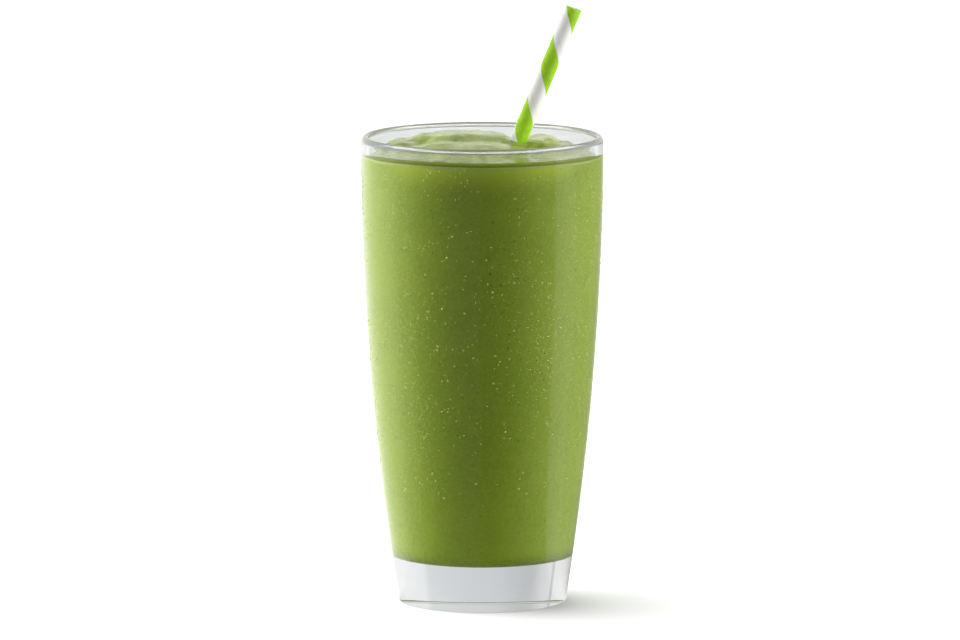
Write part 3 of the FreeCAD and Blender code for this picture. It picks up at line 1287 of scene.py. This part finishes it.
    def build(self, surface: PackedSurface) -> Piece:
        """Makes the drink as one closed mesh with two finishes.

        Args:
            surface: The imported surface.

        Returns:
            The piece.
        """
        top, contact = self.surface_rings(surface)
        sides = self.wall_rings(contact)
        rings = np.array(sides + top)
        count = len(rings)
        corners = rings.reshape(-1, 3)
        base_middle = len(corners)
        crown = (0.0, 0.0, surface.height(0.0, 0.0) + self.relief(0.0, 0.0))
        corners = np.vstack([corners, (0.0, 0.0, rings[0][0][2]), crown])
        columns = self.columns
        index = np.arange(columns)
        after = (index + 1) % columns
        faces = [(base_middle, b, a) for a, b in zip(index.tolist(), after.tolist())]
        for ring in range(count - 1):
            low, high = ring * columns, (ring + 1) * columns
            faces += np.column_stack([low + index, low + after, high + after, high + index]).tolist()
        last = (count - 1) * columns
        faces += [(last + a, last + b, base_middle + 1) for a, b in zip(index.tolist(), after.tolist())]
        piece = mesh_object("GreenSmoothie", corners.tolist(), faces)
        shade_smooth(piece.data)
        self.write_shares(piece.data, rings, contact, len(sides))
        piece.data.materials.append(BlendedGreens().make())
        piece.data.materials.append(WetTop().make())
        side_faces = columns * len(sides)
        slots = np.zeros(len(faces), np.int32)
        slots[side_faces + columns:] = 1
        piece.data.polygons.foreach_set("material_index", slots)
        piece.data.update()
        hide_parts(CadNode.SMOOTHIE.value)
        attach(piece, BODY)
        return piece


# ---------------------------------------------------------------- what is strewn


@dataclass
class Strewn:
    """One kind of small thing strewn over a surface."""

    name: str
    slot: Slot
    density: float
    smallest: float
    largest: float
    seed: int
    rarity: float = 2.5
    stretch: float = 0.0

    def build(self, recipe: ScatterRecipe, surface: Piece, shape: Piece,
              material: Material) -> Piece:
        """Strews the shape over the surface and removes both patterns.

        Args:
            recipe: The strewing recipe.
            surface: Surface with the attribute "cover".
            shape: The small shape, of radius 1.
            material: Its finish.

        Returns:
            The piece.
        """
        piece = recipe.make(self.name, Surface=surface, Shape=shape, Density=self.density,
                            Smallest=self.smallest, Largest=self.largest, Rarity_Of_Large=self.rarity,
                            Stretch=self.stretch, Seed=self.seed, Finish=material)
        for pattern in (surface, shape):
            bpy.data.objects.remove(pattern)
        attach(piece, BODY)
        return piece


def wall_band(name: str, wall: WallArc, low: float, high: float, cover: Callable[[Vector], float],
              lift: float = 0.0, columns: int = 180, rows: int = 70) -> Piece:
    """Band of a wall to strew things on, facing outwards.

    Args:
        name: Name of the band.
        wall: The wall's arc.
        low: Height of the band's lower edge.
        high: Height of its upper edge.
        cover: How thickly each place is strewn, from 0 to 1.
        lift: How far the band lies outside the wall.
        columns: Faces round the band.
        rows: Faces up the band.

    Returns:
        The band, with the attribute "cover".
    """
    corners = []
    for row in range(rows + 1):
        height = low + (high - low) * row / rows
        radius = wall.radius_at(height) + lift
        for column in range(columns):
            turn = math.tau * column / columns
            corners.append((radius * math.cos(turn), radius * math.sin(turn), height))
    faces = [(row * columns + column, row * columns + (column + 1) % columns,
              (row + 1) * columns + (column + 1) % columns, (row + 1) * columns + column)
             for row in range(rows) for column in range(columns)]
    band = mesh_object(name, corners, faces)
    store_numbers(band.data, "cover", [cover(Vector(corner)) for corner in corners])
    return band


@dataclass
class Condensation:
    """Mist and beads of water on the outside of the glass."""

    shape: TumblerShape
    lowest: float = 30 * MM
    full_from: float = 70 * MM
    below_rim: float = 5 * MM
    patch: float = 16 * MM
    front_share: float = 0.16
    front_to: float = 10.0
    side_from: float = 36.0
    bulge: float = 0.62
    sink: float = 0.12

    def cover(self, place: Vector) -> float:
        """Thick in patches on the upper part, thinning downwards and towards the middle of the front."""
        turned = abs(math.degrees(math.atan2(place.x, abs(place.y))))
        aside = smooth_step(turned, self.front_to, self.side_from)
        fade = smooth_step(place.z, self.lowest, self.full_from)
        patchy = patches(self.patch, (4.0, 2.0, 9.0), 0.15, 0.75)(place)
        return fade * patchy * (self.front_share + (1.0 - self.front_share) * aside)

    def build(self, recipe: ScatterRecipe) -> list[Piece]:
        """Strews the mist and the beads.

        Args:
            recipe: The strewing recipe.

        Returns:
            The two pieces.
        """
        water = WaterBead().make()
        kinds = ((Strewn("CondensationMist", Slot.GLASS, 5.6e5, 0.12 * MM, 0.26 * MM, 11, 2.0), 6, 2),
                 (Strewn("CondensationBeads", Slot.GLASS, 2.2e5, 0.16 * MM, 0.42 * MM, 23, 2.5), 8, 3))
        pieces = []
        for kind, sides, rings in kinds:
            band = wall_band("Band", self.shape.outer, self.lowest, self.shape.lip_level - self.below_rim,
                             self.cover)
            drop = dome("Drop", sides, rings, self.bulge, self.sink)
            pieces.append(kind.build(recipe, band, drop, water))
        return pieces


@dataclass
class Pulp:
    """Leaf flecks and small bubbles, against the wall and on the open surface."""

    shape: TumblerShape
    smoothie: Piece
    proud: float = 0.17 * MM
    below_contact: float = 1.5 * MM
    below_rim: float = 6.0 * MM
    from_edge: float = 1.5 * MM
    chip_edge: tuple[float, ...] = (1.0, 0.7, 0.95, 0.6, 0.9, 0.75)

    def wall(self, cover: Callable[[Vector], float]) -> Piece:
        """Band just outside the drink's side."""
        top = self.shape.height - self.below_rim - self.below_contact
        return wall_band("Band", self.shape.inner, self.shape.floor_level + self.shape.cavity_corner, top,
                         cover, self.proud)

    def open_surface(self, cover: Callable[[Vector], float]) -> Piece:
        """Copy of the drink's top to strew things on."""
        mesh = self.smoothie.data
        chosen = [face for face in mesh.polygons if face.material_index == 1]
        used = sorted({index for face in chosen for index in face.vertices})
        number = {old: new for new, old in enumerate(used)}
        corners = [mesh.vertices[index].co for index in used]
        top = mesh_object("Top", corners, [[number[index] for index in face.vertices] for face in chosen])
        edge = self.shape.inner.radius_at(self.shape.lip_level) - self.from_edge
        store_numbers(top.data, "cover",
                      [cover(corner) if math.hypot(corner.x, corner.y) < edge else 0.0 for corner in corners])
        return top

    def build(self, recipe: ScatterRecipe) -> list[Piece]:
        """Strews the flecks and the bubbles.

        Args:
            recipe: The strewing recipe.

        Returns:
            The four pieces.
        """
        leaf, skin = LEAF_FLECK.make(), FROTH_BUBBLE.make()
        patchy = patches(12 * MM, (1.0, 5.0, 3.0), 0.2, 0.8)
        rafts = patches(6 * MM, (8.0, 2.0, 6.0), 0.45, 0.8)
        return [
            Strewn("WallFlecks", Slot.SMOOTHIE, 6.0e4, 0.10 * MM, 0.36 * MM, 31, 2.5, 0.6).build(
                recipe, self.wall(patchy), chip("Chip", self.chip_edge, 0.08), leaf),
            Strewn("TopFlecks", Slot.SMOOTHIE, 1.6e4, 0.10 * MM, 0.34 * MM, 37, 2.5, 0.6).build(
                recipe, self.open_surface(patchy), chip("Chip", self.chip_edge, 0.3), leaf),
            Strewn("WallBubbles", Slot.SMOOTHIE, 3.0e4, 0.10 * MM, 0.35 * MM, 41, 3.0).build(
                recipe, self.wall(rafts), dome("Bubble", 8, 2, 0.2, 0.1), skin),
            Strewn("TopBubbles", Slot.SMOOTHIE, 4.0e4, 0.12 * MM, 0.5 * MM, 43, 3.0).build(
                recipe, self.open_surface(rafts), dome("Bubble", 10, 3, 0.7, 0.2), skin),
        ]


# ---------------------------------------------------------------- the studio


def towards(azimuth: float, elevation: float) -> Vector:
    """Unit vector by azimuth, where 0 is the lens side (-Y) and 90 the right (+X), and elevation."""
    turn, lift = math.radians(azimuth), math.radians(elevation)
    return Vector((math.sin(turn) * math.cos(lift), -math.cos(turn) * math.cos(lift), math.sin(lift)))


def hang(name: str, data: bpy.types.ID, outward: Vector) -> Piece:
    """Hangs a lamp or the camera so that it looks back along a direction."""
    thing = bpy.data.objects.new(name, data)
    thing.rotation_euler = outward.to_track_quat("Z", "Y").to_euler()
    bpy.context.scene.collection.objects.link(thing)
    return thing


@dataclass(frozen=True)
class Glow:
    """Soft round patch of light from far away, by its azimuth, elevation and half widths in degrees."""

    azimuth: float
    elevation: float
    full_within: float
    none_beyond: float
    radiance: float


@dataclass(frozen=True)
class Softbox:
    """Square lamp that faces the glass."""

    name: str
    azimuth: float
    elevation: float
    distance: float
    size: float
    watts: float

    def build(self, aim: Vector) -> None:
        """Puts the lamp in its place. It lights, but isn't itself seen, mirrored or seen through."""
        light = bpy.data.lights.new(self.name, "AREA")
        light.shape = "SQUARE"
        light.size = self.size
        light.energy = self.watts
        outward = towards(self.azimuth, self.elevation)
        lamp = hang(self.name, light, outward)
        lamp.location = aim + outward * self.distance
        lamp.visible_camera = False
        lamp.visible_glossy = False
        lamp.visible_transmission = False


@dataclass
class Studio:
    """Pale floor, soft light and the camera. Angles are in degrees, rings go by azimuth."""

    seen_white: float = 1.05
    horizon: tuple[Point2, ...] = (
        (-180, 1.05), (-120, 1.05), (-85, 0.35), (-45, 0.15), (0, 0.06), (45, 0.10), (85, 0.30),
        (120, 0.95), (180, 1.05))
    horizon_full_to: float = 20.0
    horizon_fades_by: float = 50.0
    high_share: float = 0.28
    mirrored_full_to: float = 52.0
    mirrored_fades_by: float = 80.0
    strip: tuple[Point2, ...] = (
        (-180, 0.0), (-135, 0.0), (-95, 11.0), (0, 12.0), (95, 11.0), (135, 0.0), (180, 0.0))
    strip_from: float = 24.0
    strip_full_from: float = 28.0
    strip_full_to: float = 46.0
    strip_to: float = 54.0
    glows: tuple[Glow, ...] = (Glow(20.0, 24.0, 14.0, 44.0, 0.66),)
    lamps: tuple[Softbox, ...] = (
        Softbox("KeyLeft", -104.0, 9.0, 0.9, 0.46, 8.2),
        Softbox("KeyRight", 97.0, 9.0, 0.9, 0.46, 5.0),
    )
    wash_azimuth: float = -118.0
    wash_elevation: float = 54.0
    wash_angle: float = 86.0
    wash: float = 1.03
    straw_azimuth: float = 52.0
    straw_elevation: float = 16.0
    straw_angle: float = 40.0
    straw_fill: float = 0.52
    floor_reach: float = 30.0
    lens: float = 312.5
    sensor: float = 36.0
    distance: float = 3.0
    elevation: float = 8.1
    aim_shift: Point2 = (-0.83 * MM, -6.1 * MM)

    def build_world(self) -> None:
        """Writes the light that comes from far away, by direction."""
        world = bpy.data.worlds.new("Studio")
        world.use_nodes = True
        bpy.context.scene.world = world
        bench = Bench(world.node_tree)
        world.node_tree.nodes.clear()
        way = bench.add("ShaderNodeTexCoord").outputs["Generated"]
        height = bench.add("ShaderNodeSeparateXYZ", {0: way}).outputs["Z"]
        fade = bench.ramp(height, lift_of(self.horizon_full_to), lift_of(self.horizon_fades_by),
                          1.0, self.high_share)
        light = bench.sum("MULTIPLY", bench.ring(way, self.horizon), fade)
        for glow in self.glows:
            ways = {0: way, 1: tuple(towards(glow.azimuth, glow.elevation))}
            near = bench.add("ShaderNodeVectorMath", ways, operation="DOT_PRODUCT").outputs["Value"]
            patch = bench.ramp(near, math.cos(math.radians(glow.none_beyond)),
                               math.cos(math.radians(glow.full_within)), 0.0, glow.radiance)
            light = bench.sum("ADD", light, patch)
        high = bench.ramp(height, lift_of(self.mirrored_full_to), lift_of(self.mirrored_fades_by),
                          1.0, self.high_share)
        mirrored = bench.sum("MULTIPLY", bench.ring(way, self.horizon), high)
        band = bench.sum("MULTIPLY",
                         bench.ramp(height, lift_of(self.strip_from), lift_of(self.strip_full_from)),
                         bench.ramp(height, lift_of(self.strip_to), lift_of(self.strip_full_to)))
        strip = bench.sum("MULTIPLY", band, bench.ring(way, self.strip))
        mirrored = bench.sum("ADD", mirrored, strip)
        path = bench.add("ShaderNodeLightPath").outputs
        for kind, seen in ((Ray.GLOSSY, mirrored), (Ray.TRANSMISSION, bench.ring(way, SEEN_THROUGH)),
                           (Ray.CAMERA, self.seen_white)):
            light = bench.add("ShaderNodeMix", {0: path[kind.value], 2: light, 3: seen},
                              data_type="FLOAT").outputs[0]
        background = bench.add("ShaderNodeBackground", {"Color": (1.0, 1.0, 1.0, 1.0), "Strength": light})
        output = bench.add("ShaderNodeOutputWorld")
        bench.tree.links.new(background.outputs[0], output.inputs[0])

    def build_floor(self) -> Piece:
        """Lays the floor."""
        reach = self.floor_reach
        corners = [(-reach, -reach, 0), (reach, -reach, 0), (reach, reach, 0), (-reach, reach, 0)]
        floor = mesh_object("Floor", corners, [(0, 1, 2, 3)])
        floor.data.materials.append(StudioFloor().make())
        floor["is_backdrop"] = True
        return floor

    def light_alone(self, name: str, piece: Piece, azimuth: float, elevation: float, angle: float,
                    strength: float) -> None:
        """Lights one thing alone with soft light from far away.

        Args:
            name: Name of the lamp.
            piece: What it lights.
            azimuth: Where it comes from.
            elevation: How high it stands.
            angle: How wide it is, in degrees.
            strength: Brightness of a white sheet that faces it.
        """
        light = bpy.data.lights.new(name, "SUN")
        light.energy = strength * math.pi
        light.angle = math.radians(angle)
        lamp = hang(name, light, towards(azimuth, elevation))
        lit = bpy.data.collections.new("LitBy" + name)
        lit.objects.link(piece)
        lamp.light_linking.receiver_collection = lit

    def light_floor(self, floor: Piece) -> None:
        """Lights the floor softly from high on the left, so that it looks white up to the glass."""
        strength = self.wash / lift_of(self.wash_elevation)
        self.light_alone("FloorWash", floor, self.wash_azimuth, self.wash_elevation, self.wash_angle,
                         strength)

    def light_straw(self, straw: Piece) -> None:
        """Lights the straw from the front on the right."""
        self.light_alone("StrawFill", straw, self.straw_azimuth, self.straw_elevation, self.straw_angle,
                         self.straw_fill)

    def build_camera(self) -> None:
        """Puts up the camera before the glass."""
        data = bpy.data.cameras.new("Camera")
        data.lens = self.lens
        data.sensor_width = self.sensor
        data.clip_start, data.clip_end = 0.1, 100.0
        low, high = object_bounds()
        aim = (low + high) / 2 + Vector((self.aim_shift[0], 0.0, self.aim_shift[1]))
        aim.y = 0.0
        back = towards(0.0, self.elevation)
        camera = hang("Camera", data, back)
        camera.location = aim + back * self.distance
        bpy.context.scene.camera = camera

    def set_render(self) -> None:
        """Plain colours, clean noise and enough bounces for the glass."""
        scene = bpy.context.scene
        scene.view_settings.view_transform = "Standard"
        scene.view_settings.look = "None"
        scene.cycles.max_bounces = 24
        scene.cycles.transmission_bounces = 24
        scene.cycles.glossy_bounces = 8
        scene.cycles.diffuse_bounces = 4
        scene.cycles.transparent_max_bounces = 32
        scene.cycles.caustics_reflective = False
        scene.cycles.caustics_refractive = False
        scene.cycles.sample_clamp_indirect = 6.0
        scene.cycles.use_denoising = True
        scene.cycles.denoiser = "OPENIMAGEDENOISE"
        scene.cycles.denoising_prefilter = "ACCURATE"
        scene.cycles.seed = 7

    def build(self) -> None:
        """Sets up the whole studio."""
        low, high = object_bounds()
        self.build_world()
        self.light_floor(self.build_floor())
        for lamp in self.lamps:
            lamp.build((low + high) / 2)
        self.build_camera()
        self.set_render()


def report(piece: Piece) -> None:
    """Logs a finished piece."""
    mesh = piece.data
    mesh.calc_loop_triangles()
    log.info("%s: %d triangles", piece.name, len(mesh.loop_triangles))


def main() -> None:
    """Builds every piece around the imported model."""
    logging.basicConfig(level=logging.INFO, format="%(message)s")
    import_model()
    shape = TumblerShape.from_frame()
    studio = Studio()
    studio.build()
    lathe, strew = LatheRecipe(), ScatterRecipe()
    straw = PaperStraw()
    report(TumblerGlass(shape).build(lathe))
    straw_piece = straw.build(lathe)
    studio.light_straw(straw_piece)
    report(straw_piece)
    # Vector noise takes its offsets from the clock unless it is seeded.
    noise.seed_set(SWIRL_SEED)
    smoothie = GreenSmoothie(shape, straw).build(PackedSurface(straw))
    report(smoothie)
    for piece in Condensation(shape).build(strew) + Pulp(shape, smoothie).build(strew):
        report(piece)


if __name__ == "__main__":
    main()
